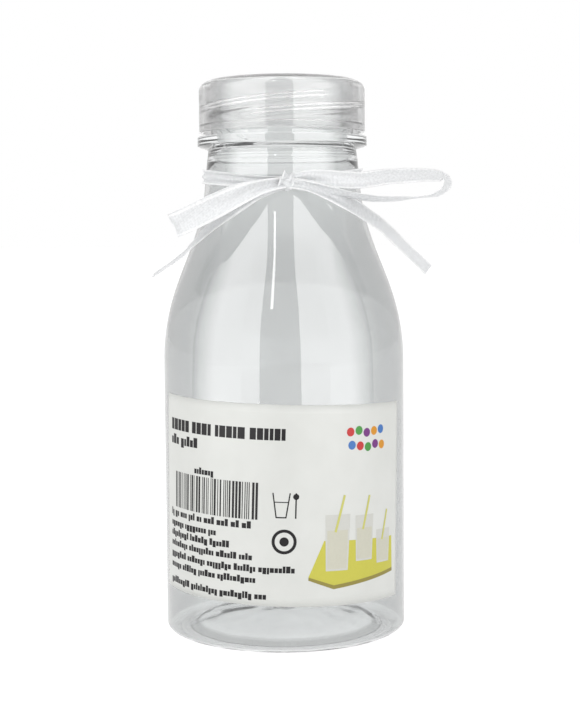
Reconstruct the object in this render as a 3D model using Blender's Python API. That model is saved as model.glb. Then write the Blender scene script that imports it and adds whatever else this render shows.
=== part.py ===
"""A small clear plastic milk bottle with its screw cap, its paper label and the ribbon tied round its neck.

Metres, +Z up, real size. The origin is the centre of the base, on the plane that the bottle stands on.
The label and the bow face -Y. Run it with blender --background --python part.py, or from the text editor.
"""

import math

import bmesh
import bpy
from mathutils import Vector

MM = 0.001
SEGMENTS = 48

# Bottle: blown body, thick-walled neck and moulded finish
BODY_RADIUS = 31.5 * MM
BODY_WALL = 0.45 * MM
SHOULDER_START = 70.8 * MM
SHOULDER_END = 117.9 * MM
SHOULDER_LOWER_HANDLE = 21.2 * MM
SHOULDER_UPPER_HANDLE = 18.6 * MM
SHOULDER_LEAN = 0.05
NECK_FOOT_RADIUS = 20.2 * MM
NECK_TOP_RADIUS = 19.3 * MM
NECK_WALL = 1.15 * MM
BLOW_LINE_HEIGHT = 123.2 * MM
BLOW_LINE_STEP = 0.12 * MM

BASE_CORNER_WIDTH = 3.8 * MM
BASE_CORNER_HEIGHT = 2.1 * MM
STANDING_RING_INNER_RADIUS = 25.0 * MM
STANDING_RING_INSIDE_STEP = 0.6 * MM
PUSH_UP_RADIUS = 21.6 * MM
PUSH_UP_EDGE_HEIGHT = 1.8 * MM
PUSH_UP_HEIGHT = 4.6 * MM
GATE_RADIUS = 3.2 * MM
GATE_STEP = 0.5 * MM
GATE_FLOOR_SHARE = 0.8
BASE_WALL = 0.9 * MM

RING_RADIUS = 22.05 * MM
RING_BOTTOM = 125.9 * MM
RING_EDGE_BOTTOM = 126.7 * MM
RING_TOP = 129.1 * MM
RING_ROUND = 0.3 * MM
RING_FOOT = 0.3 * MM
FINISH_RADIUS = 18.5 * MM
FINISH_BORE_RADIUS = 17.2 * MM
MOUTH_HEIGHT = 141.9 * MM
MOUTH_ROUND = 0.4 * MM

# Three-start thread of the finish and of the cap, which lies half a pitch above it
THREAD_STARTS = 3
THREAD_PITCH = 3.2 * MM
THREAD_SWEEP = math.radians(190)
THREAD_STEPS = 24
THREAD_FIRST_HEIGHT = 132.5 * MM
THREAD_ROOT_WIDTH = 1.3 * MM
THREAD_CREST_WIDTH = 0.6 * MM
THREAD_BITE = 0.5 * MM
THREAD_END_SHARE = 0.25
THREAD_TAPER_RATE = 8
BOTTLE_THREAD_RADIUS = 19.6 * MM
CAP_THREAD_RADIUS = 18.95 * MM

# Cap
CAP_RADIUS = 21.6 * MM
CAP_BOTTOM = 130.2 * MM
CAP_TOP = 143.7 * MM
CAP_CORNER_WIDTH = 4.0 * MM
CAP_CORNER_HEIGHT = 2.7 * MM
CAP_BORE_RADIUS = 20.05 * MM
CAP_LIP_RADIUS = 20.5 * MM
CAP_LIP_TOP = 132.2 * MM
CAP_CEILING = 142.4 * MM
CAP_CEILING_BEVEL = 0.4 * MM
CAP_LIP_BEVEL = 0.3 * MM
CAP_LIP_ROUND = 0.35 * MM
CAP_GATE_RADIUS = 0.9 * MM
CAP_GATE_DEPTH = 0.15 * MM

# Label: a rectangle of coated paper on the front of the body, stuck on a little askew
LABEL_WIDTH = 75.0 * MM
LABEL_HEIGHT = 50.0 * MM
LABEL_CENTRE_HEIGHT = 37.35 * MM
LABEL_TURN = math.radians(-3.5)
LABEL_TILT = math.radians(1.83)
LABEL_THICKNESS = 0.25 * MM
LABEL_STEPS = 30
CLEARANCE = 0.3 * MM

# Ribbon: one 6 mm wide sheer ribbon round the neck, tied in a bow at the front
RIBBON_THICKNESS = 0.5 * MM
BAND_STEPS = 40
BAND_BACK_HEIGHT = 119.4 * MM
BAND_FRONT_DIP = 2.6 * MM
BAND_DIP_ANGLE = math.radians(62)
BAND_WIDTH = 3.9 * MM
BAND_KNOT_WIDTH = 2.6 * MM
BAND_GATHER_ANGLE = math.radians(37)
KNOT_CENTRE = Vector((1.2, -22.5, 116.8)) * MM
KNOT_SIZE = Vector((4.4, 3.2, 4.0)) * MM
ROUTE_STEPS = 3

# Each row of a route: x, y, z and width in millimetres, then in degrees how far the ribbon's
# crosswise direction leans to the right of upright, and how far its upper edge turns away to the back.
LEFT_LOOP = (
    (1.0, -22.3, 116.8, 2.6, -10, 0),
    (-5.0, -21.9, 115.8, 3.4, -14, 6),
    (-10.5, -21.2, 114.2, 4.8, -20, 4),
    (-16.8, -20.0, 111.3, 5.6, -24, 2),
    (-21.8, -18.9, 108.8, 5.6, -25, 0),
    (-25.6, -18.9, 107.1, 5.4, -25, 0),
    (-27.0, -20.8, 106.3, 5.4, -25, 0),
    (-25.3, -23.0, 106.6, 5.4, -25, 0),
    (-21.2, -24.4, 108.4, 5.6, -25, -2),
    (-15.8, -25.0, 110.9, 5.6, -24, -4),
    (-9.9, -24.8, 113.7, 4.8, -20, -6),
    (-4.5, -23.9, 115.6, 3.4, -14, -4),
    (1.0, -22.7, 116.5, 2.6, -10, 0),
)
RIGHT_LOOP = (
    (1.2, -22.3, 116.8, 2.6, 0, 0),
    (6.9, -22.2, 117.5, 4.2, 0, 8),
    (13.1, -21.4, 117.2, 5.2, 0, 26),
    (19.3, -20.0, 117.0, 5.8, 0, 42),
    (25.6, -19.0, 117.8, 6.0, 0, 48),
    (32.1, -18.4, 118.2, 6.0, 2, 52),
    (37.4, -18.0, 118.2, 6.0, 12, 56),
    (40.9, -17.9, 117.7, 6.0, 45, 62),
    (41.7, -18.4, 116.1, 6.0, 90, 66),
    (39.8, -19.0, 114.2, 6.0, 148, 74),
    (35.2, -20.2, 113.0, 6.0, 172, 88),
    (29.2, -21.4, 112.4, 6.0, 180, 80),
    (21.7, -22.6, 112.7, 5.6, 180, 72),
    (15.5, -23.4, 113.8, 4.8, 180, 64),
    (9.3, -23.6, 115.2, 3.6, 180, 40),
    (1.2, -22.7, 116.5, 2.6, 180, 0),
)
LEFT_TAIL = (
    (0.7, -22.8, 116.4, 2.6, -20, 0),
    (-5.0, -23.0, 114.6, 3.4, -38, 36),
    (-8.0, -23.0, 112.9, 4.6, -46, 52),
    (-11.0, -22.4, 110.8, 5.4, -47, 60),
    (-14.0, -21.4, 108.7, 6.0, -46, 64),
    (-17.3, -20.2, 106.1, 6.0, -44, 68),
    (-19.9, -19.2, 104.0, 6.0, -43, 72),
    (-23.3, -17.6, 100.7, 6.0, -40, 84),
    (-25.6, -16.6, 98.5, 6.0, -38, 86),
    (-29.2, -15.8, 96.0, 6.0, -36, 86),
    (-32.9, -15.2, 93.6, 6.0, -34, 86),
)
RIGHT_TAIL = (
    (1.4, -22.8, 116.4, 2.6, 10, 0),
    (6.1, -23.4, 115.7, 3.4, 14, 20),
    (11.2, -23.4, 113.8, 4.8, 24, 36),
    (16.3, -22.0, 111.2, 5.8, 34, 50),
    (19.5, -20.6, 109.5, 6.0, 38, 56),
    (22.6, -19.6, 107.3, 6.0, 40, 60),
    (25.8, -18.6, 104.8, 6.0, 42, 60),
    (30.8, -17.8, 100.0, 6.0, 43, 60),
    (33.9, -17.4, 97.1, 6.0, 43, 60),
    (36.5, -17.4, 94.6, 6.0, 43, 60),
)


def material(name, colour, roughness, transmission=0.0, alpha=1.0):
    """A Principled material, with nothing metallic about it."""
    made = bpy.data.materials.new(name)
    made.use_nodes = True
    shader = made.node_tree.nodes["Principled BSDF"]
    shader.inputs["Base Color"].default_value = (*colour, 1.0)
    shader.inputs["Roughness"].default_value = roughness
    shader.inputs["Metallic"].default_value = 0.0
    shader.inputs["Transmission Weight"].default_value = transmission
    shader.inputs["Alpha"].default_value = alpha
    return made


def add_object(name, made_bmesh, parent=None):
    """Turns a bmesh into an object of that name, parented if a parent is given."""
    mesh = bpy.data.meshes.new(name)
    made_bmesh.to_mesh(mesh)
    made_bmesh.free()
    piece = bpy.data.objects.new(name, mesh)
    bpy.context.scene.collection.objects.link(piece)
    piece.parent = parent
    return piece


def arc(centre, width, start, end, steps, height=None):
    """Points (r, z) on a round of that radius, or that width and height, angles in degrees from +r towards +z."""
    rise = width if height is None else height
    turns = [math.radians(start + (end - start) * i / steps) for i in range(steps + 1)]
    return [(centre[0] + width * math.cos(a), centre[1] + rise * math.sin(a)) for a in turns]


def cubic(a, b, c, d, t):
    """One coordinate of a cubic curve with end values a and d and handles b and c."""
    return (1 - t) ** 3 * a + 3 * (1 - t) ** 2 * t * b + 3 * (1 - t) * t**2 * c + t**3 * d


def shoulder(steps):
    """Points (r, z) down the outside of the shoulder, from the foot of the neck to the straight body."""
    points = []
    upper_handle_radius = NECK_FOOT_RADIUS + SHOULDER_LEAN * SHOULDER_UPPER_HANDLE
    for i in range(steps + 1):
        t = i / steps
        radius = cubic(NECK_FOOT_RADIUS, upper_handle_radius, BODY_RADIUS, BODY_RADIUS, t)
        height = cubic(
            SHOULDER_END,
            SHOULDER_END - SHOULDER_UPPER_HANDLE,
            SHOULDER_START + SHOULDER_LOWER_HANDLE,
            SHOULDER_START,
            t,
        )
        points.append((radius, height))
    return points


def wall_at(height):
    """Wall thickness of the bottle: thin in the body, growing up the shoulder to the thick neck."""
    share = (height - SHOULDER_START) / (SHOULDER_END - SHOULDER_START)
    share = min(1.0, max(0.0, share))
    return BODY_WALL + (NECK_WALL - BODY_WALL) * share * share * (3 - 2 * share)


def neck_radius(height):
    """Outer radius of the bottle at a height on its neck or shoulder."""
    if height >= SHOULDER_END:
        share = (height - SHOULDER_END) / (RING_BOTTOM - SHOULDER_END)
        return NECK_FOOT_RADIUS + (NECK_TOP_RADIUS - NECK_FOOT_RADIUS) * share
    points = shoulder(40)
    for (r_high, z_high), (r_low, z_low) in zip(points, points[1:]):
        if z_low <= height <= z_high:
            share = (height - z_low) / (z_high - z_low)
            return r_low + (r_high - r_low) * share
    return BODY_RADIUS


def push_up(raise_by, steps=3):
    """Points (r, z) of the push-up under the base, from its outer edge in to the axis."""
    rise = PUSH_UP_HEIGHT - PUSH_UP_EDGE_HEIGHT
    points = []
    for i in range(steps + 1):
        radius = PUSH_UP_RADIUS + (GATE_RADIUS - PUSH_UP_RADIUS) * i / steps
        share = 1 - (radius / PUSH_UP_RADIUS) ** 2
        points.append((radius, PUSH_UP_EDGE_HEIGHT + rise * share + raise_by))
    points.append((GATE_RADIUS * GATE_FLOOR_SHARE, PUSH_UP_HEIGHT - GATE_STEP + raise_by))
    points.append((0.0, PUSH_UP_HEIGHT - GATE_STEP + raise_by))
    return points


def bottle_profile():
    """Half section of the bottle: from the axis inside, up to the mouth, and down the outside to the axis."""
    shoulder_points = shoulder(11)
    corner_centre = (BODY_RADIUS - BASE_CORNER_WIDTH, BASE_CORNER_HEIGHT)
    corner = arc(corner_centre, BASE_CORNER_WIDTH, 0, -90, 6, BASE_CORNER_HEIGHT)
    corner_inside = arc(
        corner_centre, BASE_CORNER_WIDTH - BODY_WALL, -78, 0, 4, BASE_CORNER_HEIGHT - BODY_WALL
    )
    inside = push_up(BASE_WALL)[::-1]
    inside.append((STANDING_RING_INNER_RADIUS + STANDING_RING_INSIDE_STEP, BASE_WALL))
    inside += corner_inside
    inside += [(r - wall_at(z), z) for r, z in reversed(shoulder_points)]
    inside.append((FINISH_BORE_RADIUS, RING_TOP))
    mouth_in = (FINISH_BORE_RADIUS + MOUTH_ROUND, MOUTH_HEIGHT - MOUTH_ROUND)
    mouth_out = (FINISH_RADIUS - MOUTH_ROUND, MOUTH_HEIGHT - MOUTH_ROUND)
    rim = arc(mouth_in, MOUTH_ROUND, 180, 90, 2) + arc(mouth_out, MOUTH_ROUND, 90, 0, 2)
    ring = [(FINISH_RADIUS, RING_TOP)]
    ring += arc((RING_RADIUS - RING_ROUND, RING_TOP - RING_ROUND), RING_ROUND, 90, 0, 2)
    ring += [(RING_RADIUS, RING_EDGE_BOTTOM), (NECK_TOP_RADIUS + RING_FOOT, RING_BOTTOM)]
    neck = [
        (NECK_TOP_RADIUS, RING_BOTTOM - RING_FOOT),
        (neck_radius(BLOW_LINE_HEIGHT), BLOW_LINE_HEIGHT),
        (neck_radius(BLOW_LINE_HEIGHT) + BLOW_LINE_STEP, BLOW_LINE_HEIGHT - BLOW_LINE_STEP),
    ]
    standing_ring = [(STANDING_RING_INNER_RADIUS, 0.0)]
    return inside + rim + ring + neck + shoulder_points + corner + standing_ring + push_up(0.0)


def cap_profile():
    """Half section of the cap: from the axis under its ceiling, down the bore, round the lip and up over the top."""
    corner_centre = (CAP_RADIUS - CAP_CORNER_WIDTH, CAP_TOP - CAP_CORNER_HEIGHT)
    lip_centre = (CAP_RADIUS - CAP_LIP_ROUND, CAP_BOTTOM + CAP_LIP_ROUND)
    inside = [
        (0.0, CAP_CEILING),
        (CAP_BORE_RADIUS - CAP_CEILING_BEVEL, CAP_CEILING),
        (CAP_BORE_RADIUS, CAP_CEILING - CAP_CEILING_BEVEL),
        (CAP_BORE_RADIUS, CAP_LIP_TOP),
        (CAP_LIP_RADIUS, CAP_LIP_TOP - CAP_LIP_BEVEL),
        (CAP_LIP_RADIUS, CAP_BOTTOM),
    ]
    outside = arc(lip_centre, CAP_LIP_ROUND, -90, 0, 2)
    outside += arc(corner_centre, CAP_CORNER_WIDTH, 0, 90, 5, CAP_CORNER_HEIGHT)
    gate = [
        (CAP_GATE_RADIUS + CAP_GATE_DEPTH, CAP_TOP),
        (CAP_GATE_RADIUS, CAP_TOP - CAP_GATE_DEPTH),
        (0.0, CAP_TOP - CAP_GATE_DEPTH),
    ]
    return (inside + outside + gate)[::-1]


def turned(name, profile, parent):
    """An object turned from a half section by a Screw modifier about Z."""
    section = bmesh.new()
    corners = [section.verts.new((r, 0.0, z)) for r, z in profile]
    for a, b in zip(corners, corners[1:]):
        section.edges.new((a, b))
    piece = add_object(name, section, parent)
    screw = piece.modifiers.new("turn", "SCREW")
    screw.steps = SEGMENTS
    screw.render_steps = SEGMENTS
    screw.use_merge_vertices = True
    screw.merge_threshold = 0.01 * MM
    screw.use_smooth_shade = True
    return piece


def thread_ridge(name, start_angle, first_height, root_radius, crest_radius):
    """One start of the thread: a trapezoid swept up a helix, tapering away at both ends."""
    ridge = bmesh.new()
    lead = THREAD_PITCH * THREAD_STARTS
    rings = []
    for i in range(THREAD_STEPS + 1):
        share = i / THREAD_STEPS
        angle = start_angle + THREAD_SWEEP * share
        height = first_height + lead * THREAD_SWEEP * share / math.tau
        fade = min(1.0, THREAD_END_SHARE + min(share, 1 - share) * THREAD_TAPER_RATE)
        crest = root_radius + (crest_radius - root_radius) * fade
        root_half, crest_half = THREAD_ROOT_WIDTH / 2, THREAD_CREST_WIDTH / 2
        section = ((root_radius, -root_half), (crest, -crest_half), (crest, crest_half), (root_radius, root_half))
        ring = [
            ridge.verts.new((r * math.cos(angle), r * math.sin(angle), height + dz))
            for r, dz in section
        ]
        rings.append(ring)
    for lower, upper in zip(rings, rings[1:]):
        for k in range(4):
            ridge.faces.new((lower[k], lower[(k + 1) % 4], upper[(k + 1) % 4], upper[k]))
    ridge.faces.new(rings[0])
    ridge.faces.new(rings[-1][::-1])
    bmesh.ops.recalc_face_normals(ridge, faces=ridge.faces)
    return add_object(name, ridge)


def hide_in(collection, piece):
    """Moves a helper piece into a collection of shapes that are only there to be joined on."""
    bpy.context.scene.collection.objects.unlink(piece)
    collection.objects.link(piece)
    piece.hide_render = True
    piece.display_type = "WIRE"


def join_collection(piece, name, helpers, solver="EXACT"):
    """Unites an object with a collection of helper shapes by one Boolean modifier."""
    collection = bpy.data.collections.new(name)
    bpy.context.scene.collection.children.link(collection)
    for helper in helpers:
        hide_in(collection, helper)
    union = piece.modifiers.new("join", "BOOLEAN")
    union.operation = "UNION"
    union.operand_type = "COLLECTION"
    union.collection = collection
    union.solver = solver


def add_threads(piece, name, first_height, root_radius, crest_radius):
    """Joins the starts of a thread, evenly spaced round the axis, to a turned piece."""
    starts = []
    for i in range(THREAD_STARTS):
        angle = math.tau * i / THREAD_STARTS
        starts.append(thread_ridge(f"{name}_{i}", angle, first_height, root_radius, crest_radius))
    join_collection(piece, name, starts)


def make_bottle(parent):
    """The blown bottle, open at its mouth, with its support ring and outer thread."""
    bottle = turned("bottle", bottle_profile(), parent)
    root = FINISH_RADIUS - THREAD_BITE
    add_threads(bottle, "finish_thread", THREAD_FIRST_HEIGHT, root, BOTTLE_THREAD_RADIUS)
    bottle.data.materials.append(material("clear_pet", (0.86, 0.88, 0.89), 0.05, 0.9, 0.35))
    return bottle


def make_cap(parent):
    """The moulded cap, screwed right down, with its inner thread between the turns of the bottle's."""
    cap = turned("cap", cap_profile(), parent)
    root = CAP_BORE_RADIUS + THREAD_BITE
    height = THREAD_FIRST_HEIGHT + THREAD_PITCH / 2
    add_threads(cap, "cap_thread", height, root, CAP_THREAD_RADIUS)
    cap.data.materials.append(material("clear_cap", (0.84, 0.87, 0.88), 0.18, 0.7, 0.5))
    return cap


def make_label(parent):
    """A thin rectangle wrapped on the front of the body, turned by its small tilt."""
    label = bmesh.new()
    inner = BODY_RADIUS + CLEARANCE
    columns = []
    for i in range(LABEL_STEPS + 1):
        along = LABEL_WIDTH * (i / LABEL_STEPS - 0.5)
        column = []
        for up, radius in ((-0.5, inner), (-0.5, inner + LABEL_THICKNESS), (0.5, inner + LABEL_THICKNESS), (0.5, inner)):
            raised = LABEL_HEIGHT * up
            across = along * math.cos(LABEL_TILT) + raised * math.sin(LABEL_TILT)
            height = LABEL_CENTRE_HEIGHT - along * math.sin(LABEL_TILT) + raised * math.cos(LABEL_TILT)
            turn = LABEL_TURN + across / inner
            column.append(label.verts.new((radius * math.sin(turn), -radius * math.cos(turn), height)))
        columns.append(column)
    for left, right in zip(columns, columns[1:]):
        for k in range(4):
            label.faces.new((left[k], left[(k + 1) % 4], right[(k + 1) % 4], right[k]))
    label.faces.new(columns[0])
    label.faces.new(columns[-1][::-1])
    bmesh.ops.recalc_face_normals(label, faces=label.faces)
    piece = add_object("label", label, parent)
    piece.data.materials.append(material("coated_paper", (0.90, 0.89, 0.86), 0.45))
    return piece


def smooth_route(rows):
    """A route's rows with more rows read off a smooth curve through them."""
    padded = [rows[0], *rows, rows[-1]]
    made = []
    for before, start, end, after in zip(padded, padded[1:], padded[2:], padded[3:]):
        for i in range(ROUTE_STEPS):
            t = i / ROUTE_STEPS
            made.append([
                0.5 * (2 * b + (c - a) * t + (2 * a - 5 * b + 4 * c - d) * t**2 + (3 * b - a - 3 * c + d) * t**3)
                for a, b, c, d in zip(before, start, end, after)
            ])
    return made + [list(rows[-1])]


def strip_from(stations, closed):
    """A flat strip through stations of (centre, half the crosswise vector, half the thickness vector)."""
    strip = bmesh.new()
    rings = [
        [strip.verts.new(centre + a * across + b * thick) for a, b in ((-1, -1), (1, -1), (1, 1), (-1, 1))]
        for centre, across, thick in stations
    ]
    following = rings[1:] + rings[:1] if closed else rings[1:]
    for ring, after in zip(rings, following):
        for k in range(4):
            strip.faces.new((ring[k], ring[(k + 1) % 4], after[(k + 1) % 4], after[k]))
    if not closed:
        strip.faces.new(rings[0])
        strip.faces.new(rings[-1][::-1])
    bmesh.ops.recalc_face_normals(strip, faces=strip.faces)
    bmesh.ops.triangulate(strip, faces=strip.faces)
    return strip


def routed_strip(name, rows):
    """A stretch of ribbon along a route, square to it and turned as its rows say."""
    smooth = smooth_route(rows)
    centres = [Vector(row[:3]) * MM for row in smooth]
    stations = []
    for i, row in enumerate(smooth):
        tangent = (centres[min(i + 1, len(centres) - 1)] - centres[max(i - 1, 0)]).normalized()
        lean, turn = math.radians(row[4]), math.radians(row[5])
        across = Vector((math.sin(lean) * math.cos(turn), math.sin(turn), math.cos(lean) * math.cos(turn)))
        across = (across - tangent * across.dot(tangent)).normalized()
        thick = tangent.cross(across) * RIBBON_THICKNESS / 2
        stations.append((centres[i], across * row[3] * MM / 2, thick))
    return add_object(name, strip_from(stations, closed=False))


def band_height(angle):
    """Height of the middle of the neck band, which dips to the knot at the front, where the angle is 0."""
    dip = math.exp(-((angle / BAND_DIP_ANGLE) ** 2))
    return BAND_BACK_HEIGHT - BAND_FRONT_DIP * dip


def neck_band(parent):
    """The ribbon's turn round the neck, lying close to it."""
    stations = []
    for i in range(BAND_STEPS):
        angle = math.tau * i / BAND_STEPS
        from_front = min(angle, math.tau - angle)
        height = band_height(from_front)
        gathered = math.exp(-((from_front / BAND_GATHER_ANGLE) ** 2))
        half_width = (BAND_WIDTH - (BAND_WIDTH - BAND_KNOT_WIDTH) * gathered) / 2
        radius = neck_radius(height - half_width) + CLEARANCE + RIBBON_THICKNESS / 2
        outward = Vector((math.sin(angle), -math.cos(angle), 0.0))
        centre = outward * radius + Vector((0.0, 0.0, height))
        stations.append((centre, Vector((0.0, 0.0, half_width)), outward * RIBBON_THICKNESS / 2))
    return add_object("ribbon", strip_from(stations, closed=True), parent)


def knot():
    """The small lump of the knot."""
    lump = bmesh.new()
    bmesh.ops.create_icosphere(lump, subdivisions=2, radius=0.5)
    for vert in lump.verts:
        vert.co = Vector(a * b for a, b in zip(vert.co, KNOT_SIZE)) + KNOT_CENTRE
    return add_object("knot", lump)


def make_ribbon(parent):
    """The whole ribbon as one solid: neck band, knot, two loops and two tails."""
    ribbon = neck_band(parent)
    routes = (
        ("left_loop", LEFT_LOOP),
        ("right_loop", RIGHT_LOOP),
        ("left_tail", LEFT_TAIL),
        ("right_tail", RIGHT_TAIL),
    )
    helpers = [knot()] + [routed_strip(name, rows) for name, rows in routes]
    join_collection(ribbon, "bow", helpers, solver="MANIFOLD")
    ribbon.data.materials.append(material("sheer_ribbon", (0.92, 0.93, 0.94), 0.5))
    return ribbon


def clear_scene():
    """Removes what the scene holds at the start."""
    for piece in list(bpy.data.objects):
        bpy.data.objects.remove(piece, do_unlink=True)


clear_scene()
stand = bpy.data.objects.new("milk_bottle", None)
bpy.context.scene.collection.objects.link(stand)
make_bottle(stand)
make_cap(stand)
make_label(stand)
make_ribbon(stand)
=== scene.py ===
"""A small clear plastic milk bottle with its screw cap, a ribbon tied round its neck and a paper label."""

import math
import random

import bmesh
import bpy
from mathutils import Euler, Matrix, Vector, noise


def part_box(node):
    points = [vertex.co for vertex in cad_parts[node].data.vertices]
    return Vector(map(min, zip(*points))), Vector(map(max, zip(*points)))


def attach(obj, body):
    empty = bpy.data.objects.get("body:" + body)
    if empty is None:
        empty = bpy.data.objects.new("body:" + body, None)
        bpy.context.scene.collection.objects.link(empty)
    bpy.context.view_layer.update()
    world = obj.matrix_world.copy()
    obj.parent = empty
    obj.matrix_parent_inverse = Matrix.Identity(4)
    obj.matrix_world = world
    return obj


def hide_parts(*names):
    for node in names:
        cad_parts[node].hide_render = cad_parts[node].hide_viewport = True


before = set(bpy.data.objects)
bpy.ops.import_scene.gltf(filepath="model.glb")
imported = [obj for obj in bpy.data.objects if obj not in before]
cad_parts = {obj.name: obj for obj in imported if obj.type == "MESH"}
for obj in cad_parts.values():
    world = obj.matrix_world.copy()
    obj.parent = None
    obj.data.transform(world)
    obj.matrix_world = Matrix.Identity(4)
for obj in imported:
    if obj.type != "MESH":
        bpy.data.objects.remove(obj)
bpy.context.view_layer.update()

# Bottle
# The bottle is blown from clear PET under a thick moulded neck, which carries a support ring and a
# three-start thread. The thin base is pushed up inside the narrow ring that the bottle stands on.
MM = 0.001
bottle_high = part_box("bottle")[1]
BODY_RADIUS = bottle_high[0]
BODY_WALL = 0.45 * MM
MOUTH_HEIGHT = bottle_high[2]
SHOULDER_START = 70.8 * MM
SHOULDER_END = 117.9 * MM
SHOULDER_LOWER_HANDLE = 21.2 * MM
SHOULDER_UPPER_HANDLE = 18.6 * MM
SHOULDER_LEAN = 0.05
NECK_FOOT_RADIUS = 20.2 * MM
NECK_TOP_RADIUS = 19.3 * MM
NECK_WALL = 1.15 * MM
SHOULDER_STEPS = 40
BLOW_LINE_HEIGHT = 123.2 * MM
BLOW_LINE_STEP = 0.07 * MM
BLOW_LINE_REACH = 0.36 * MM
BLOW_LINE_STEPS = 6
BASE_CORNER_WIDTH = 3.8 * MM
BASE_CORNER_HEIGHT = 2.1 * MM
STANDING_RING_INNER_RADIUS = 25.0 * MM
PUSH_UP_RADIUS = 21.6 * MM
PUSH_UP_EDGE_HEIGHT = 1.8 * MM
PUSH_UP_HEIGHT = 4.6 * MM
PUSH_UP_STEPS = 12
GATE_RADIUS = 3.2 * MM
GATE_FLOOR_SHARE = 0.8
GATE_STEP = 0.5 * MM
BASE_WALL = 0.9 * MM
BASE_WALL_REACH = 0.6 * MM
FLOOR_ROUND_START = -78
RING_RADIUS = 22.05 * MM
RING_BOTTOM = 125.9 * MM
RING_EDGE_BOTTOM = 126.7 * MM
RING_TOP = 129.1 * MM
RING_FOOT = 0.3 * MM
FINISH_RADIUS = 18.5 * MM
FINISH_BORE_RADIUS = 17.2 * MM
MOUTH_ROUND = 0.4 * MM
THREAD_STARTS = 3
THREAD_LEAD = 9.6 * MM
THREAD_SWEEP = math.radians(190)
THREAD_FIRST_HEIGHT = 132.5 * MM
THREAD_ROOT_WIDTH = 1.7 * MM
THREAD_CREST_WIDTH = 0.5 * MM
THREAD_TAPER_RATE = 8
BOTTLE_THREAD_DEPTH = 1.1 * MM
ROW_STEP = 3.0 * MM
THREAD_ROW_STEP = 0.1 * MM
RING_ROW_STEP = 0.25 * MM
AROUND = 240
FLOOR_EASE = 0.3 * MM
UNDER_EASE = 0.5 * MM
RING_EASE = 0.5 * MM
SMALLEST_CORNER = math.radians(20)
CORNER_SHARES = (0.0, 0.33, 0.67, 1.0)
WALL_WAVE = 0.035 * MM
WALL_WAVE_SIZE = 11.0
WALL_WAVE_STRETCH = 0.45
BASE_WAVE = 0.16 * MM
BASE_WAVE_SIZE = 5.0
BASE_WAVE_FADE_INSIDE = 4 * MM
BASE_WAVE_FADE_OUTSIDE = 6 * MM

# The tints of the plastic. Each stop is a place on a scale and the share of the light that passes there:
# by height up to the mouth, painted shade greyest in the body and paler up the neck; by how slantwise the
# wall is seen, painted shade darkening the edges; and over the base out to the body's radius, a painted
# highlight ring at the push-up's edge with painted shade round it.
PET_SHADE_BY_HEIGHT = ((0.0, 0.735), (0.68, 0.735), (0.78, 0.78), (0.86, 0.83), (0.9, 0.9))
PET_SHADE_BY_SLANT = ((0.0, 1.0), (0.3, 0.98), (0.42, 0.85), (0.62, 0.77), (0.8, 0.6), (0.92, 0.14), (1.0, 0.06))
PET_HIGHLIGHT_AND_SHADE_OVER_BASE = ((0.6, 0.93), (0.675, 1.0), (0.72, 1.0), (0.74, 0.66), (0.86, 0.64), (0.9, 0.9))
# The first mask leaves the painted slant shade off the moulded finish above the ring; the second finds the
# level faces, which take the painted highlight and shade over the base instead.
PET_MOULDED_PART = ((0.88, 0.0), (0.89, 0.95))
PET_LEVEL_PART = ((0.55, 0.0), (0.8, 1.0))
PET_HUE = (0.985, 1.0, 1.0, 1.0)
NO_TINT = (1.0, 1.0, 1.0, 1.0)
LIGHT_LET_IN = 0.93


def rounded(centre, width, height, start, end, steps):
    """Points (r, z) on a round of that width and height, from one angle to another in degrees."""
    turns = [math.radians(start + (end - start) * i / steps) for i in range(steps + 1)]
    return [(centre[0] + width * math.cos(a), centre[1] + height * math.sin(a)) for a in turns]


def eased(points, ease):
    """The same outline with each corner cut by a small curve of about that size."""
    made = [points[0]]
    for before, corner, after in zip(points, points[1:], points[2:]):
        back, on = Vector(before) - Vector(corner), Vector(after) - Vector(corner)
        if back.length < ease or on.length < ease or back.angle(-on) < SMALLEST_CORNER:
            made.append(corner)
            continue
        first = Vector(corner) + back.normalized() * ease / 2
        last = Vector(corner) + on.normalized() * ease / 2
        for t in CORNER_SHARES:
            made.append(tuple(first * (1 - t) ** 2 + Vector(corner) * 2 * t * (1 - t) + last * t**2))
    return made + [points[-1]]


def spaced(points, step):
    """The same outline with more points, so that none are further apart than step."""
    made = [points[0]]
    for start, end in zip(points, points[1:]):
        parts = max(1, math.ceil(math.dist(start, end) / step))
        for i in range(1, parts + 1):
            made.append(tuple(a + (b - a) * i / parts for a, b in zip(start, end)))
    return made


def thread_share(angle, height, first_height):
    """How far a place on a threaded wall lies up the thread, from 0 at its root to 1 at its crest."""
    highest = 0.0
    for start in range(THREAD_STARTS):
        turned_on = (angle - math.tau * start / THREAD_STARTS) % math.tau
        if turned_on > THREAD_SWEEP:
            continue
        from_middle = abs(height - first_height - THREAD_LEAD * turned_on / math.tau)
        flank = (THREAD_ROOT_WIDTH / 2 - from_middle) / (THREAD_ROOT_WIDTH / 2 - THREAD_CREST_WIDTH / 2)
        flank = min(1.0, max(0.0, flank))
        run = turned_on / THREAD_SWEEP
        fade = min(1.0, min(run, 1 - run) * THREAD_TAPER_RATE)
        highest = max(highest, fade * flank * flank * (3 - 2 * flank))
    return highest


def turned(name, rows, move):
    """A smooth mesh turned about Z from rows of (radius, height, part of the wall), from axis to axis."""
    mesh = bmesh.new()
    rings = []
    for radius, height, part in rows:
        if radius < 0.01 * MM:
            rings.append([mesh.verts.new((0.0, 0.0, height))])
            continue
        ring = []
        for i in range(AROUND):
            angle = math.tau * i / AROUND
            r, z = move(angle, radius, height, part)
            ring.append(mesh.verts.new((r * math.cos(angle), r * math.sin(angle), z)))
        rings.append(ring)
    for ring, after in zip(rings, rings[1:]):
        for i in range(AROUND):
            corners = [ring[i % len(ring)], ring[(i + 1) % len(ring)]]
            corners += [after[(i + 1) % len(after)], after[i % len(after)]]
            mesh.faces.new(list(dict.fromkeys(corners)))
    bmesh.ops.recalc_face_normals(mesh, faces=mesh.faces)
    return shown(name, mesh)


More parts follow.
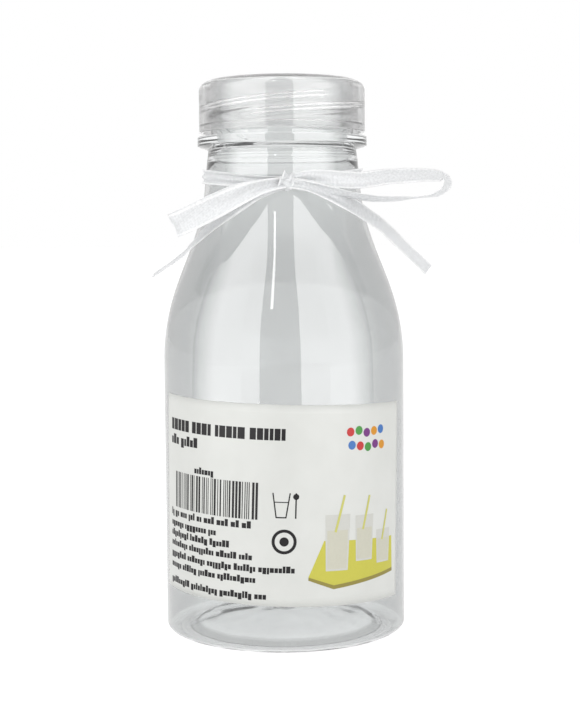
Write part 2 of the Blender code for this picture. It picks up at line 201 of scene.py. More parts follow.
def shown(name, made_bmesh, smooth=True):
    """An object of that name from a bmesh, riding on the part's one body."""
    mesh = bpy.data.meshes.new(name)
    made_bmesh.to_mesh(mesh)
    made_bmesh.free()
    for face in mesh.polygons:
        face.use_smooth = smooth
    piece = bpy.data.objects.new(name, mesh)
    bpy.context.scene.collection.objects.link(piece)
    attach(piece, "root")
    return piece


def shoulder():
    """Points (r, z) down the outside of the shoulder, on a cubic curve from the neck to the body."""
    handles = (
        Vector((NECK_FOOT_RADIUS, SHOULDER_END)),
        Vector((
            NECK_FOOT_RADIUS + SHOULDER_LEAN * SHOULDER_UPPER_HANDLE,
            SHOULDER_END - SHOULDER_UPPER_HANDLE,
        )),
        Vector((BODY_RADIUS, SHOULDER_START + SHOULDER_LOWER_HANDLE)),
        Vector((BODY_RADIUS, SHOULDER_START)),
    )
    points = []
    for i in range(SHOULDER_STEPS + 1):
        t = i / SHOULDER_STEPS
        shares = ((1 - t) ** 3, 3 * (1 - t) ** 2 * t, 3 * (1 - t) * t**2, t**3)
        points.append(tuple(sum((h * s for h, s in zip(handles, shares)), Vector((0.0, 0.0)))))
    return points


def wall_at(height):
    """Wall thickness of the bottle: thin in the body, growing up the shoulder to the thick neck."""
    share = min(1.0, max(0.0, (height - SHOULDER_START) / (SHOULDER_END - SHOULDER_START)))
    return BODY_WALL + (NECK_WALL - BODY_WALL) * share * share * (3 - 2 * share)


def neck_radius(height):
    """Outer radius of the bottle at a height on its neck or shoulder."""
    if height >= SHOULDER_END:
        share = (height - SHOULDER_END) / (RING_BOTTOM - SHOULDER_END)
        return NECK_FOOT_RADIUS + (NECK_TOP_RADIUS - NECK_FOOT_RADIUS) * share
    for (r_high, z_high), (r_low, z_low) in zip(shoulder(), shoulder()[1:]):
        if z_low <= height <= z_high:
            return r_low + (r_high - r_low) * (height - z_low) / (z_high - z_low)
    return BODY_RADIUS


def push_up(raise_by):
    """Points (r, z) of the push-up under the base, from its outer edge in to the axis."""
    points = []
    rise = PUSH_UP_HEIGHT - PUSH_UP_EDGE_HEIGHT
    for i in range(PUSH_UP_STEPS + 1):
        radius = PUSH_UP_RADIUS + (GATE_RADIUS - PUSH_UP_RADIUS) * i / PUSH_UP_STEPS
        share = 1 - (radius / PUSH_UP_RADIUS) ** 2
        points.append((radius, PUSH_UP_EDGE_HEIGHT + rise * share + raise_by))
    floor = PUSH_UP_HEIGHT - GATE_STEP + raise_by
    return points + [(GATE_RADIUS * GATE_FLOOR_SHARE, floor), (0.0, floor)]


def bottle_rows():
    """The bottle's half section in rows: up the inside from the axis, over the mouth and down the outside."""
    corner_centre = (BODY_RADIUS - BASE_CORNER_WIDTH, BASE_CORNER_HEIGHT)
    inner_width, inner_height = BASE_CORNER_WIDTH - BODY_WALL, BASE_CORNER_HEIGHT - BODY_WALL
    floor = push_up(BASE_WALL)[::-1] + [(STANDING_RING_INNER_RADIUS + BASE_WALL_REACH, BASE_WALL)]
    floor += rounded(corner_centre, inner_width, inner_height, FLOOR_ROUND_START, 0, 10)
    inner_wall = [floor[-1]] + [(r - wall_at(z), z) for r, z in reversed(shoulder())]
    inner_centre = (FINISH_BORE_RADIUS + MOUTH_ROUND, MOUTH_HEIGHT - MOUTH_ROUND)
    outer_centre = (FINISH_RADIUS - MOUTH_ROUND, MOUTH_HEIGHT - MOUTH_ROUND)
    mouth = [(FINISH_BORE_RADIUS, RING_TOP)]
    mouth += rounded(inner_centre, MOUTH_ROUND, MOUTH_ROUND, 180, 90, 5)
    mouth += rounded(outer_centre, MOUTH_ROUND, MOUTH_ROUND, 90, 0, 5)
    finish = [mouth[-1], (FINISH_RADIUS, RING_TOP)]
    ring = [finish[-1], (RING_RADIUS, RING_TOP), (RING_RADIUS, RING_EDGE_BOTTOM)]
    ring += [(NECK_TOP_RADIUS + RING_FOOT, RING_BOTTOM), (NECK_TOP_RADIUS, RING_BOTTOM - RING_FOOT)]
    neck = [ring[-1]]
    for i in range(BLOW_LINE_STEPS + 1):
        height = BLOW_LINE_HEIGHT + BLOW_LINE_REACH * (1 - i / (BLOW_LINE_STEPS / 2))
        swell = BLOW_LINE_STEP * math.sin(math.pi * i / BLOW_LINE_STEPS)
        neck.append((neck_radius(height) + swell, height))
    neck += shoulder()
    corner = rounded(corner_centre, BASE_CORNER_WIDTH, BASE_CORNER_HEIGHT, 0, -90, 12)
    under = [corner[-1], (STANDING_RING_INNER_RADIUS, 0.0)] + push_up(0.0)
    rows = [(r, z, "floor") for r, z in spaced(eased(floor, FLOOR_EASE), ROW_STEP)]
    rows += [(r, z, "wall") for r, z in spaced(inner_wall + mouth, ROW_STEP)[1:]]
    rows += [(r, z, "thread") for r, z in spaced(finish, THREAD_ROW_STEP)[1:]]
    rows += [(r, z, "ring") for r, z in spaced(eased(ring, RING_EASE), RING_ROW_STEP)[1:]]
    rows += [(r, z, "wall") for r, z in spaced(neck + corner, ROW_STEP)[1:]]
    rows += [(r, z, "under") for r, z in spaced(eased(under, UNDER_EASE), ROW_STEP)[1:]]
    return rows


def move_bottle(angle, radius, height, part):
    """Where a point of the wall really lies: up the thread, or off by the slight waves of a blown wall."""
    if part == "thread":
        return radius + BOTTLE_THREAD_DEPTH * thread_share(angle, height, THREAD_FIRST_HEIGHT), height
    place = Vector((radius * math.cos(angle), radius * math.sin(angle), height)) / MM
    if part == "floor":
        inside = min(1.0, radius / BASE_WAVE_FADE_INSIDE)
        outside = min(1.0, max(0.0, (BODY_RADIUS - radius) / BASE_WAVE_FADE_OUTSIDE))
        return radius, height + BASE_WAVE * (inside * outside) * noise.noise(place / BASE_WAVE_SIZE)
    if part == "wall":
        stretched = Vector((place.x, place.y, place.z * WALL_WAVE_STRETCH)) / WALL_WAVE_SIZE
        return radius + WALL_WAVE * noise.noise(stretched), height
    return radius, height


def put(tree, kind, settings=None, **inputs):
    """A new shader node with its settings, its inputs set to numbers, colours or other nodes' outputs."""
    made = tree.nodes.new(kind)
    for name, value in (settings or {}).items():
        setattr(made, name, value)
    for name, value in inputs.items():
        socket = made.inputs[int(name[1:])] if name[1:].isdigit() else made.inputs[name.replace("_", " ")]
        if isinstance(value, bpy.types.NodeSocket):
            tree.links.new(value, socket)
        else:
            socket.default_value = value
    return made


def reckon(tree, operation, *values):
    """The result of a sum on numbers or on other nodes' outputs."""
    inputs = {f"_{i}": value for i, value in enumerate(values)}
    return put(tree, "ShaderNodeMath", {"operation": operation}, **inputs).outputs[0]


def ramp(tree, source, stops):
    """The colour output of a ramp that reads a value. Each stop is a place and a grey or a colour."""
    made = put(tree, "ShaderNodeValToRGB", Fac=source)
    while len(made.color_ramp.elements) < len(stops):
        made.color_ramp.elements.new(1.0)
    for element, (place, colour) in zip(made.color_ramp.elements, stops):
        element.position = place
        element.color = (colour, colour, colour, 1.0) if isinstance(colour, float) else (*colour, 1.0)
    return made.outputs["Color"]


def finish_of(name, roughness, ior=1.5):
    """A new Principled material of that name, its node tree and its shader."""
    made = bpy.data.materials.new(name)
    made.use_nodes = True
    shader = made.node_tree.nodes["Principled BSDF"]
    shader.inputs["Roughness"].default_value = roughness
    shader.inputs["IOR"].default_value = ior
    return made, made.node_tree, shader


def mixed(tree, share, first, second, blend="MIX"):
    """The colour output of two colours mixed by a share."""
    made = put(tree, "ShaderNodeMix", {"data_type": "RGBA", "blend_type": blend})
    for socket, value in zip((made.inputs[0], made.inputs[6], made.inputs[7]), (share, first, second)):
        if isinstance(value, bpy.types.NodeSocket):
            tree.links.new(value, socket)
        else:
            socket.default_value = value
    return made.outputs[2]


def level_part(tree, places, stops):
    """How far a face counts as a level one, read off its own normal and not the way it is seen."""
    upward = put(tree, "ShaderNodeSeparateXYZ", Vector=places.outputs["Normal"]).outputs["Z"]
    return ramp(tree, reckon(tree, "ABSOLUTE", upward), stops)


def let_light_in(tree, shader):
    """Lets soft light pass straight through a clear wall, so that what lies behind it is lit."""
    path = put(tree, "ShaderNodeLightPath")
    soft = reckon(tree, "MAXIMUM", path.outputs["Is Shadow Ray"], path.outputs["Is Diffuse Ray"])
    clear = put(tree, "ShaderNodeBsdfTransparent", Color=(LIGHT_LET_IN, LIGHT_LET_IN, LIGHT_LET_IN, 1.0))
    both = put(tree, "ShaderNodeMixShader", _0=soft, _1=shader.outputs[0], _2=clear.outputs[0])
    tree.links.new(both.outputs[0], tree.nodes["Material Output"].inputs["Surface"])


def clear_pet():
    """Clear PET: painted shade greys the body and slantwise edges, a painted highlight rings the base; faint
    scuffs.
    """
    made, tree, shader = finish_of("clear_pet", 0.02, 1.575)
    shader.inputs["Transmission Weight"].default_value = 1.0
    slant = put(tree, "ShaderNodeLayerWeight", Blend=0.5).outputs["Facing"]
    places = put(tree, "ShaderNodeTexCoord")
    place = places.outputs["Object"]
    height = put(tree, "ShaderNodeSeparateXYZ", Vector=place).outputs["Z"]
    share = reckon(tree, "DIVIDE", height, MOUTH_HEIGHT)
    # Painted shade: greyer in the body than up the neck, and darker where the wall is seen slantwise, but not
    # on the moulded finish.
    edge = mixed(tree, ramp(tree, share, PET_MOULDED_PART), ramp(tree, slant, PET_SHADE_BY_SLANT), NO_TINT)
    upright = mixed(tree, 1.0, ramp(tree, share, PET_SHADE_BY_HEIGHT), edge, "MULTIPLY")
    flat_place = put(tree, "ShaderNodeVectorMath", {"operation": "MULTIPLY"}, _0=place, _1=(1.0, 1.0, 0.0))
    from_axis = put(tree, "ShaderNodeVectorMath", {"operation": "LENGTH"}, _0=flat_place.outputs["Vector"])
    reach = reckon(tree, "DIVIDE", from_axis.outputs["Value"], BODY_RADIUS)
    # Painted highlight and shade over the base: a pale ring at the push-up's edge and a band of painted shade
    # just outside it.
    base_highlight_and_shade = ramp(tree, reach, PET_HIGHLIGHT_AND_SHADE_OVER_BASE)
    grey = mixed(tree, level_part(tree, places, PET_LEVEL_PART), upright, base_highlight_and_shade)
    painted_shade_tint = mixed(tree, 1.0, grey, PET_HUE, "MULTIPLY")
    haze = put(tree, "ShaderNodeTexNoise", Vector=place, Scale=90.0, Detail=3.0).outputs["Fac"]
    clouded = mixed(tree, 1.0, painted_shade_tint, ramp(tree, haze, ((0.3, 0.97), (0.7, 1.0))), "MULTIPLY")
    tree.links.new(clouded, shader.inputs["Base Color"])
    scuffs = put(tree, "ShaderNodeTexNoise", Vector=place, Scale=160.0, Detail=2.0).outputs["Fac"]
    rough = ramp(tree, scuffs, ((0.35, 0.015), (0.7, 0.04)))
    tree.links.new(rough, shader.inputs["Roughness"])
    bumps = put(tree, "ShaderNodeBump", Strength=0.12, Distance=0.05 * MM, Height=haze)
    tree.links.new(bumps.outputs["Normal"], shader.inputs["Normal"])
    let_light_in(tree, shader)
    return made


bottle = turned("clear_bottle", bottle_rows(), move_bottle)
bottle.data.materials.append(clear_pet())
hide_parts("bottle")

# Ribbon
# One narrow ribbon of sheer white weave, denser along its edges, is wrapped round the neck and tied
# at the front in a bow. It is gathered into pleats where it runs through the knot.
RIBBON_WIDTH = 6.0 * MM
RIBBON_THICKNESS = 0.12 * MM
RIBBON_OFF_NECK = 0.2 * MM
RIBBON_COLUMNS = 24
RIBBON_STEP = 0.5 * MM
RIBBON_RIPPLE = 0.2 * MM
RIPPLE_LENGTH = 3.2
RIPPLES_ACROSS = 2.2
PLEAT_SHARE = 0.5
PLEAT_SHIFT = 0.5
PLEAT_SHIFT_LENGTH = 9.0
STRETCH_SEED = 7.3
BAND_STEPS = 240
BAND_BACK_HEIGHT = 119.4 * MM
BAND_FRONT_DIP = 2.6 * MM
BAND_DIP_ANGLE = math.radians(62)
BAND_WIDTH = 3.7 * MM
BAND_KNOT_WIDTH = 2.6 * MM
BAND_GATHER_ANGLE = math.radians(37)
KNOT_CENTRE = Vector((1.2, -22.5, 116.8)) * MM
KNOT_SIZE = Vector((3.7, 2.7, 3.5)) * MM
KNOT_LEAN = 0.35
KNOT_TURNS = 1.05
KNOT_INNER_WIDTH = 0.8
KNOT_STEPS = 48
WARP_SPACING = 0.27
WEFT_SPACING = 0.32
EDGE_PART = ((0.74, 0.0), (0.8, 1.0))
EDGE_COVER = 0.97
WEAVE_COVER = ((0.35, 0.62), (0.95, 0.96))
SLUB_COVER = 0.35
WEAVE_WHITE = (0.78, 0.79, 0.80, 1.0)
EDGE_WHITE = (0.85, 0.855, 0.86, 1.0)

# Each row of a route: x, y, z and shown width in millimetres, then in degrees how far the ribbon's
# crosswise direction leans to the right of upright, and how far its upper edge turns away to the back.
LEFT_LOOP = (
    (1.0, -22.3, 116.8, 2.6, -10, 0),
    (-5.0, -21.9, 115.8, 3.4, -14, 6),
    (-10.5, -21.2, 114.2, 4.8, -20, 4),
    (-16.8, -20.0, 111.3, 5.6, -24, 2),
    (-21.8, -18.9, 108.8, 5.9, -25, 0),
    (-25.6, -18.9, 107.1, 5.9, -25, 0),
    (-27.0, -20.8, 106.3, 5.9, -25, 0),
    (-25.3, -23.0, 106.6, 5.9, -25, 0),
    (-21.2, -24.4, 108.4, 5.9, -25, -2),
    (-15.8, -25.0, 110.9, 5.6, -24, -4),
    (-9.9, -24.8, 113.7, 4.8, -20, -6),
    (-4.5, -23.9, 115.6, 3.4, -14, -4),
    (1.0, -22.7, 116.5, 2.6, -10, 0),
)
RIGHT_LOOP = (
    (1.2, -22.3, 116.8, 2.6, 0, 0),
    (6.9, -22.2, 117.5, 4.2, 0, 8),
    (13.1, -21.4, 117.2, 5.2, 0, 26),
    (19.3, -20.0, 117.0, 5.8, 0, 42),
    (25.6, -19.0, 117.8, 6.0, 0, 48),
    (32.1, -18.4, 118.2, 6.0, 2, 52),
    (37.4, -18.0, 118.2, 6.0, 12, 56),
    (40.3, -17.9, 117.7, 6.0, 45, 62),
    (41.0, -18.4, 116.1, 6.0, 90, 66),
    (39.3, -19.0, 114.2, 6.0, 148, 74),
    (35.2, -20.2, 113.0, 6.0, 172, 88),
    (29.2, -21.4, 112.4, 6.0, 180, 80),
    (21.7, -22.6, 112.7, 5.6, 180, 72),
    (15.5, -23.4, 113.8, 4.8, 180, 64),
    (9.3, -23.6, 115.2, 3.6, 180, 40),
    (1.2, -22.7, 116.5, 2.6, 180, 0),
)
LEFT_TAIL = (
    (0.7, -22.8, 116.4, 2.6, -20, 0),
    (-5.0, -23.0, 114.6, 3.4, -38, 36),
    (-8.0, -23.0, 112.9, 4.6, -46, 52),
    (-11.0, -22.4, 110.8, 5.4, -47, 60),
    (-14.0, -21.4, 108.7, 6.0, -46, 64),
    (-17.3, -20.2, 106.1, 6.0, -44, 68),
    (-19.9, -19.2, 104.0, 6.0, -43, 72),
    (-23.3, -17.6, 100.7, 6.0, -40, 79),
    (-25.6, -16.6, 98.5, 6.0, -38, 79),
    (-29.2, -15.8, 96.0, 6.0, -36, 79),
    (-32.9, -15.2, 93.6, 6.0, -34, 82),
)
RIGHT_TAIL = (
    (1.4, -22.8, 116.4, 2.6, 10, 0),
    (6.1, -23.4, 115.7, 3.4, 14, 20),
    (11.2, -23.4, 113.8, 4.8, 24, 36),
    (16.3, -22.0, 111.2, 5.8, 34, 50),
    (19.5, -20.6, 109.5, 6.0, 38, 56),
    (22.6, -19.6, 107.3, 6.0, 40, 60),
    (25.8, -18.6, 104.8, 6.0, 42, 60),
    (30.8, -17.8, 100.0, 6.0, 43, 60),
    (33.9, -17.4, 97.1, 6.0, 43, 60),
    (36.5, -17.4, 94.6, 6.0, 43, 60),
)


def on_curve(t, before, start, end, after):
    """The value at a share t of the way from start to end, on a smooth curve led by those beyond them."""
    bend = 2 * before - 5 * start + 4 * end - after
    twist = 3 * start - before - 3 * end + after
    return 0.5 * (2 * start + (end - before) * t + bend * t**2 + twist * t**3)


def smooth_route(rows):
    """A route's rows with more rows read off a smooth curve through them, about a step apart."""
    padded = [rows[0], *rows, rows[-1]]
    made = []
    for before, start, end, after in zip(padded, padded[1:], padded[2:], padded[3:]):
        steps = max(2, round(math.dist(start[:3], end[:3]) * MM / RIBBON_STEP))
        for i in range(steps):
            made.append([on_curve(i / steps, *values) for values in zip(before, start, end, after)])
    return made + [list(rows[-1])]


def routed(rows):
    """Stations (centre, crosswise direction, facing direction, shown width) along a route."""
    smooth = smooth_route(rows)
    centres = [Vector(row[:3]) * MM for row in smooth]
    stations = []
    for i, row in enumerate(smooth):
        along = (centres[min(i + 1, len(centres) - 1)] - centres[max(i - 1, 0)]).normalized()
        lean, turn = math.radians(row[4]), math.radians(row[5])
        across = Vector((math.sin(lean) * math.cos(turn), math.sin(turn), math.cos(lean) * math.cos(turn)))
        across = (across - along * across.dot(along)).normalized()
        stations.append((centres[i], across, along.cross(across), min(row[3], RIBBON_WIDTH / MM) * MM))
    return stations


def band():
    """Stations of the turn round the neck, from the knot round the back to the knot again."""
    stations = []
    for i in range(BAND_STEPS + 1):
        angle = math.tau * i / BAND_STEPS
        from_front = min(angle, math.tau - angle)
        height = BAND_BACK_HEIGHT - BAND_FRONT_DIP * math.exp(-((from_front / BAND_DIP_ANGLE) ** 2))
        gathered = math.exp(-((from_front / BAND_GATHER_ANGLE) ** 2))
        width = BAND_WIDTH - (BAND_WIDTH - BAND_KNOT_WIDTH) * gathered
        outward = Vector((math.sin(angle), -math.cos(angle), 0.0))
        radius = neck_radius(height - width / 2) + RIBBON_OFF_NECK
        centre = outward * radius + Vector((0.0, 0.0, height))
        stations.append((centre, Vector((0.0, 0.0, 1.0)), outward, width))
    return stations


def knot_turn():
    """Stations of the short turn that the ribbon makes round itself in the knot."""
    stations = []
    across = Vector((1.0, 0.0, -KNOT_LEAN)).normalized()
    for i in range(KNOT_STEPS + 1):
        angle = math.radians(-90) + math.tau * KNOT_TURNS * i / KNOT_STEPS
        outward = Vector((
            KNOT_LEAN * math.cos(angle) * KNOT_SIZE.z / 2,
            math.sin(angle) * KNOT_SIZE.y / 2,
            math.cos(angle) * KNOT_SIZE.z / 2,
        ))
        width = KNOT_SIZE.x * (KNOT_INNER_WIDTH + (1 - KNOT_INNER_WIDTH) * i / KNOT_STEPS)
        stations.append((KNOT_CENTRE + outward, across, outward.normalized(), width))
    return stations


def lay_strip(mesh, weave, stations, start, pleats, seed):
    """Lays ribbon along its stations, its spare width taken up in pleats, and returns the length so far."""
    rings, run = [], start
    for i, (centre, across, facing, width) in enumerate(stations):
        if i:
            run += (centre - stations[i - 1][0]).length
        depth = PLEAT_SHARE * math.sqrt(max(0.0, RIBBON_WIDTH**2 - width**2)) / pleats / 2
        ring = []
        for k in range(RIBBON_COLUMNS + 1):
            u = k / RIBBON_COLUMNS
            shift = PLEAT_SHIFT * noise.noise(Vector((run / MM / PLEAT_SHIFT_LENGTH, seed, 3.0)))
            fold = depth * math.cos(math.pi * (pleats * u + shift)) + depth * 0.5
            ripple = RIBBON_RIPPLE * noise.noise(Vector((run / MM / RIPPLE_LENGTH, u * RIPPLES_ACROSS, seed)))
            place = centre + across * (u - 0.5) * width + facing * (fold + ripple)
            ring.append((mesh.verts.new(place), u, run))
        rings.append(ring)
    for ring, after in zip(rings, rings[1:]):
        for a, b, c, d in zip(ring, ring[1:], after[1:], after):
            face = mesh.faces.new((a[0], b[0], c[0], d[0]))
            for loop, (_, u, along) in zip(face.loops, (a, b, c, d)):
                loop[weave].uv = (u * RIBBON_WIDTH / MM, along / MM)
    return run


def threads(tree, source, spacing):
    """A row of threads at that spacing in millimetres, from 0 in the gaps to 1 on a thread."""
    wave = reckon(tree, "SINE", reckon(tree, "MULTIPLY", source, math.tau / spacing))
    return reckon(tree, "MULTIPLY_ADD", wave, 0.5, 0.5)


def sheer_weave():
    """Sheer white weave: fine threads both ways with small gaps between, closed up along both edges."""
    made, tree, shader = finish_of("sheer_weave", 0.5)
    place = put(tree, "ShaderNodeUVMap", {"uv_map": "weave"}).outputs["UV"]
    across = put(tree, "ShaderNodeSeparateXYZ", Vector=place).outputs["X"]
    along = put(tree, "ShaderNodeSeparateXYZ", Vector=place).outputs["Y"]
    warp, weft = threads(tree, across, WARP_SPACING), threads(tree, along, WEFT_SPACING)
    cloth = reckon(tree, "MAXIMUM", warp, weft)
    half = RIBBON_WIDTH / MM / 2
    from_middle = reckon(tree, "ABSOLUTE", reckon(tree, "SUBTRACT", across, half))
    edge = ramp(tree, reckon(tree, "DIVIDE", from_middle, half), EDGE_PART)
    slubs = put(tree, "ShaderNodeTexNoise", Vector=place, Scale=1.6, Detail=3.0).outputs["Fac"]
    open_weave = ramp(tree, reckon(tree, "MULTIPLY_ADD", slubs, SLUB_COVER, cloth), WEAVE_COVER)
    alpha = reckon(tree, "MAXIMUM", open_weave, reckon(tree, "MULTIPLY", edge, EDGE_COVER))
    tree.links.new(alpha, shader.inputs["Alpha"])
    uneven = ramp(tree, slubs, ((0.35, 0.78), (0.65, 1.0)))
    colour = mixed(tree, 0.6, mixed(tree, edge, WEAVE_WHITE, EDGE_WHITE), uneven, "MULTIPLY")
    tree.links.new(colour, shader.inputs["Base Color"])
    relief = put(tree, "ShaderNodeBump", Strength=0.5, Distance=0.05 * MM, Height=cloth)
    tree.links.new(relief.outputs["Normal"], shader.inputs["Normal"])
    shader.inputs["Sheen Weight"].default_value = 0.1
    return made


def tie_ribbon():
    """The ribbon in one piece, from the end of one tail to the end of the other, and the line it follows."""
    mesh = bmesh.new()
    weave = mesh.loops.layers.uv.new("weave")
    stretches = (
        (routed(LEFT_TAIL)[::-1], 3),
        (routed(LEFT_LOOP), 2),
        (knot_turn(), 3),
        (band(), 4),
        (routed(RIGHT_LOOP), 3),
        (routed(RIGHT_TAIL), 3),
    )
    run, line = 0.0, []
    for seed, (stations, pleats) in enumerate(stretches):
        run = lay_strip(mesh, weave, stations, run, pleats, seed * STRETCH_SEED)
        line += [centre for centre, _, _, _ in stations]
    mesh.normal_update()
    bmesh.ops.solidify(mesh, geom=mesh.faces[:], thickness=RIBBON_THICKNESS)
    return shown("ribbon_bow", mesh), line


ribbon, ribbon_line = tie_ribbon()
ribbon.data.materials.append(sheer_weave())
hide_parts("ribbon")

# Cap
# The screw cap is moulded in clear, slightly milky plastic. It is screwed right down on the bottle's
# mouth, its thread runs between the turns of the bottle's, and its top has a small gate mark.
cap_low, cap_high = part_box("cap")
CAP_RADIUS = cap_high[0]
CAP_BOTTOM = cap_low[2]
CAP_TOP = cap_high[2]
CAP_CORNER_WIDTH = 4.0 * MM
CAP_CORNER_HEIGHT = 2.7 * MM
CAP_BORE_RADIUS = 20.05 * MM
CAP_LIP_RADIUS = 20.5 * MM
CAP_LIP_TOP = 132.2 * MM
CAP_LIP_SLOPE = 0.3 * MM
CAP_LIP_ROUND = 0.35 * MM
CAP_LIP_EASE = 0.25 * MM
CAP_CEILING = 142.4 * MM
CAP_CEILING_BEVEL = 0.4 * MM
CAP_CEILING_EASE = 0.3 * MM
CAP_THREAD_DEPTH = 1.1 * MM
CAP_SIDE_STEP = 1.0 * MM
GATE_MARK_RADIUS = 0.7 * MM
GATE_MARK_HEIGHT = 0.35 * MM
GATE_MARK_FOOT = 1.3
# Painted shade: the cap's upright sides darken where they are seen slantwise; its level faces keep an even
# tint.
CAP_SHADE_BY_SLANT = ((0.0, 0.85), (0.31, 0.84), (0.36, 0.71), (0.6, 0.59), (0.8, 0.4), (1.0, 0.2))
CAP_LEVEL_PART = ((0.08, 0.0), (0.35, 1.0))
CAP_TOP_TINT = (0.95, 0.95, 0.95, 1.0)


def cap_rows():
    """The cap's half section in rows: under its ceiling, down the bore, round the lip and over the top."""
    ceiling = [(0.0, CAP_CEILING), (CAP_BORE_RADIUS - CAP_CEILING_BEVEL, CAP_CEILING)]
    ceiling += [(CAP_BORE_RADIUS, CAP_CEILING - CAP_CEILING_BEVEL)]
    bore = [ceiling[-1], (CAP_BORE_RADIUS, CAP_LIP_TOP)]
    lip = [bore[-1], (CAP_LIP_RADIUS, CAP_LIP_TOP - CAP_LIP_SLOPE), (CAP_LIP_RADIUS, CAP_BOTTOM)]
    lip_centre = (CAP_RADIUS - CAP_LIP_ROUND, CAP_BOTTOM + CAP_LIP_ROUND)
    lip += rounded(lip_centre, CAP_LIP_ROUND, CAP_LIP_ROUND, -90, 0, 6)
    corner_centre = (CAP_RADIUS - CAP_CORNER_WIDTH, CAP_TOP - CAP_CORNER_HEIGHT)
    outside = [lip[-1]] + rounded(corner_centre, CAP_CORNER_WIDTH, CAP_CORNER_HEIGHT, 0, 90, 16)
    top = [outside[-1], (GATE_MARK_RADIUS * GATE_MARK_FOOT, CAP_TOP)]
    gate = rounded((0.0, CAP_TOP), GATE_MARK_RADIUS, GATE_MARK_HEIGHT, 0, 90, 5)
    rows = [(r, z, "ceiling") for r, z in spaced(eased(ceiling, CAP_CEILING_EASE), ROW_STEP)]
    rows += [(r, z, "thread") for r, z in spaced(bore, THREAD_ROW_STEP)[1:]]
    rows += [(r, z, "lip") for r, z in spaced(eased(lip, CAP_LIP_EASE), RING_ROW_STEP)[1:]]
    rows += [(r, z, "outside") for r, z in spaced(outside, CAP_SIDE_STEP)[1:]]
    rows += [(r, z, "top") for r, z in spaced(top, ROW_STEP)[1:]]
    return rows + [(r, z, "gate") for r, z in gate]


def move_cap(angle, radius, height, part):
    """Where a point of the cap's wall lies: its thread reaches in between the turns of the bottle's."""
    if part == "thread":
        between = THREAD_FIRST_HEIGHT + THREAD_LEAD / THREAD_STARTS / 2
        return radius - CAP_THREAD_DEPTH * thread_share(angle, height, between), height
    return radius, height


def milky_plastic():
    """Clear moulded plastic with a slight milkiness, painted shade on its sides where seen slantwise, and
    soft flow marks round it.
    """
    made, tree, shader = finish_of("milky_plastic", 0.09, 1.49)
    shader.inputs["Transmission Weight"].default_value = 0.93
    places = put(tree, "ShaderNodeTexCoord")
    slant = put(tree, "ShaderNodeLayerWeight", Blend=0.5).outputs["Facing"]
    level = level_part(tree, places, CAP_LEVEL_PART)
    # Painted shade on the sides, darker where they are seen slantwise; the level top keeps an even tint.
    grey = mixed(tree, level, ramp(tree, slant, CAP_SHADE_BY_SLANT), CAP_TOP_TINT)
    round_it = put(tree, "ShaderNodeMapping", Vector=places.outputs["Object"], Scale=(60.0, 60.0, 900.0))
    marks = put(tree, "ShaderNodeTexNoise", Vector=round_it.outputs["Vector"], Scale=1.0, Detail=3.0)
    flow = marks.outputs["Fac"]
    painted_shade_tint = mixed(tree, 1.0, grey, ramp(tree, flow, ((0.3, 0.95), (0.7, 1.0))), "MULTIPLY")
    tree.links.new(painted_shade_tint, shader.inputs["Base Color"])
    tree.links.new(ramp(tree, flow, ((0.3, 0.06), (0.7, 0.13))), shader.inputs["Roughness"])
    bumps = put(tree, "ShaderNodeBump", Strength=0.15, Distance=0.05 * MM, Height=flow)
    tree.links.new(bumps.outputs["Normal"], shader.inputs["Normal"])
    let_light_in(tree, shader)
    return made


cap = turned("screw_cap", cap_rows(), move_cap)
cap.data.materials.append(milky_plastic())
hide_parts("cap")

# Label
# The label is a rectangle of coated off-white paper, stuck on the front of the body a little askew. It is
# printed with lines of small dark blocks, upright stripes, a tumbler and a ring, two rows of coloured dots
# and a picture of three glasses with straws on a yellow board. Every shape in the print is made up.
LABEL_WIDTH = 75.0 * MM
LABEL_HEIGHT = 50.0 * MM
LABEL_CENTRE_HEIGHT = 37.35 * MM
LABEL_TURN = math.radians(-3.5)
LABEL_TILT = math.radians(1.83)
LABEL_THICKNESS = 0.1 * MM
LABEL_OFF_WALL = 0.06 * MM
LABEL_STEP = 1.2 * MM
PRINT_HEIGHT = 0.012 * MM
PAPER_SHADES = ((0.3, (0.61, 0.617, 0.592)), (0.7, (0.635, 0.642, 0.618)))
PAPER_GLOSS = 0.25
INK_GLOSS = 0.12
INK_ROUGHNESS = 0.35
INK_DARKER = 0.97
DISC_CORNERS = 24
LINE_OVERLAP = 0.6
DARK_INK = (0.02, 0.019, 0.02)

# The print is given in millimetres from the label's middle. Each line of blocks: its left end, the height
# of its base, its right end, how tall its blocks are, how many its longest words have, capitals or not.
LINES_ABOVE_STRIPES = (
    (-34.4, 16.2, 1.0, 2.9, 8.0, True),
    (-34.4, 12.6, -20.0, 2.5, 6.0, False),
    (-23.4, 6.2, -16.0, 1.7, 8.0, False),
)
LINES_BELOW_STRIPES = (
    (-34.4, -5.9, -6.4, 1.8, 3.0, False),
    (-34.4, -8.6, -16.6, 1.7, 11.0, False),
    (-34.4, -11.2, -12.4, 1.7, 11.0, False),
    (-34.4, -13.8, -6.4, 1.7, 11.0, False),
    (-34.4, -16.6, 4.0, 1.7, 11.0, False),
    (-34.4, -19.4, -3.4, 1.7, 11.0, False),
    (-34.4, -23.4, -2.7, 1.7, 11.0, False),
)

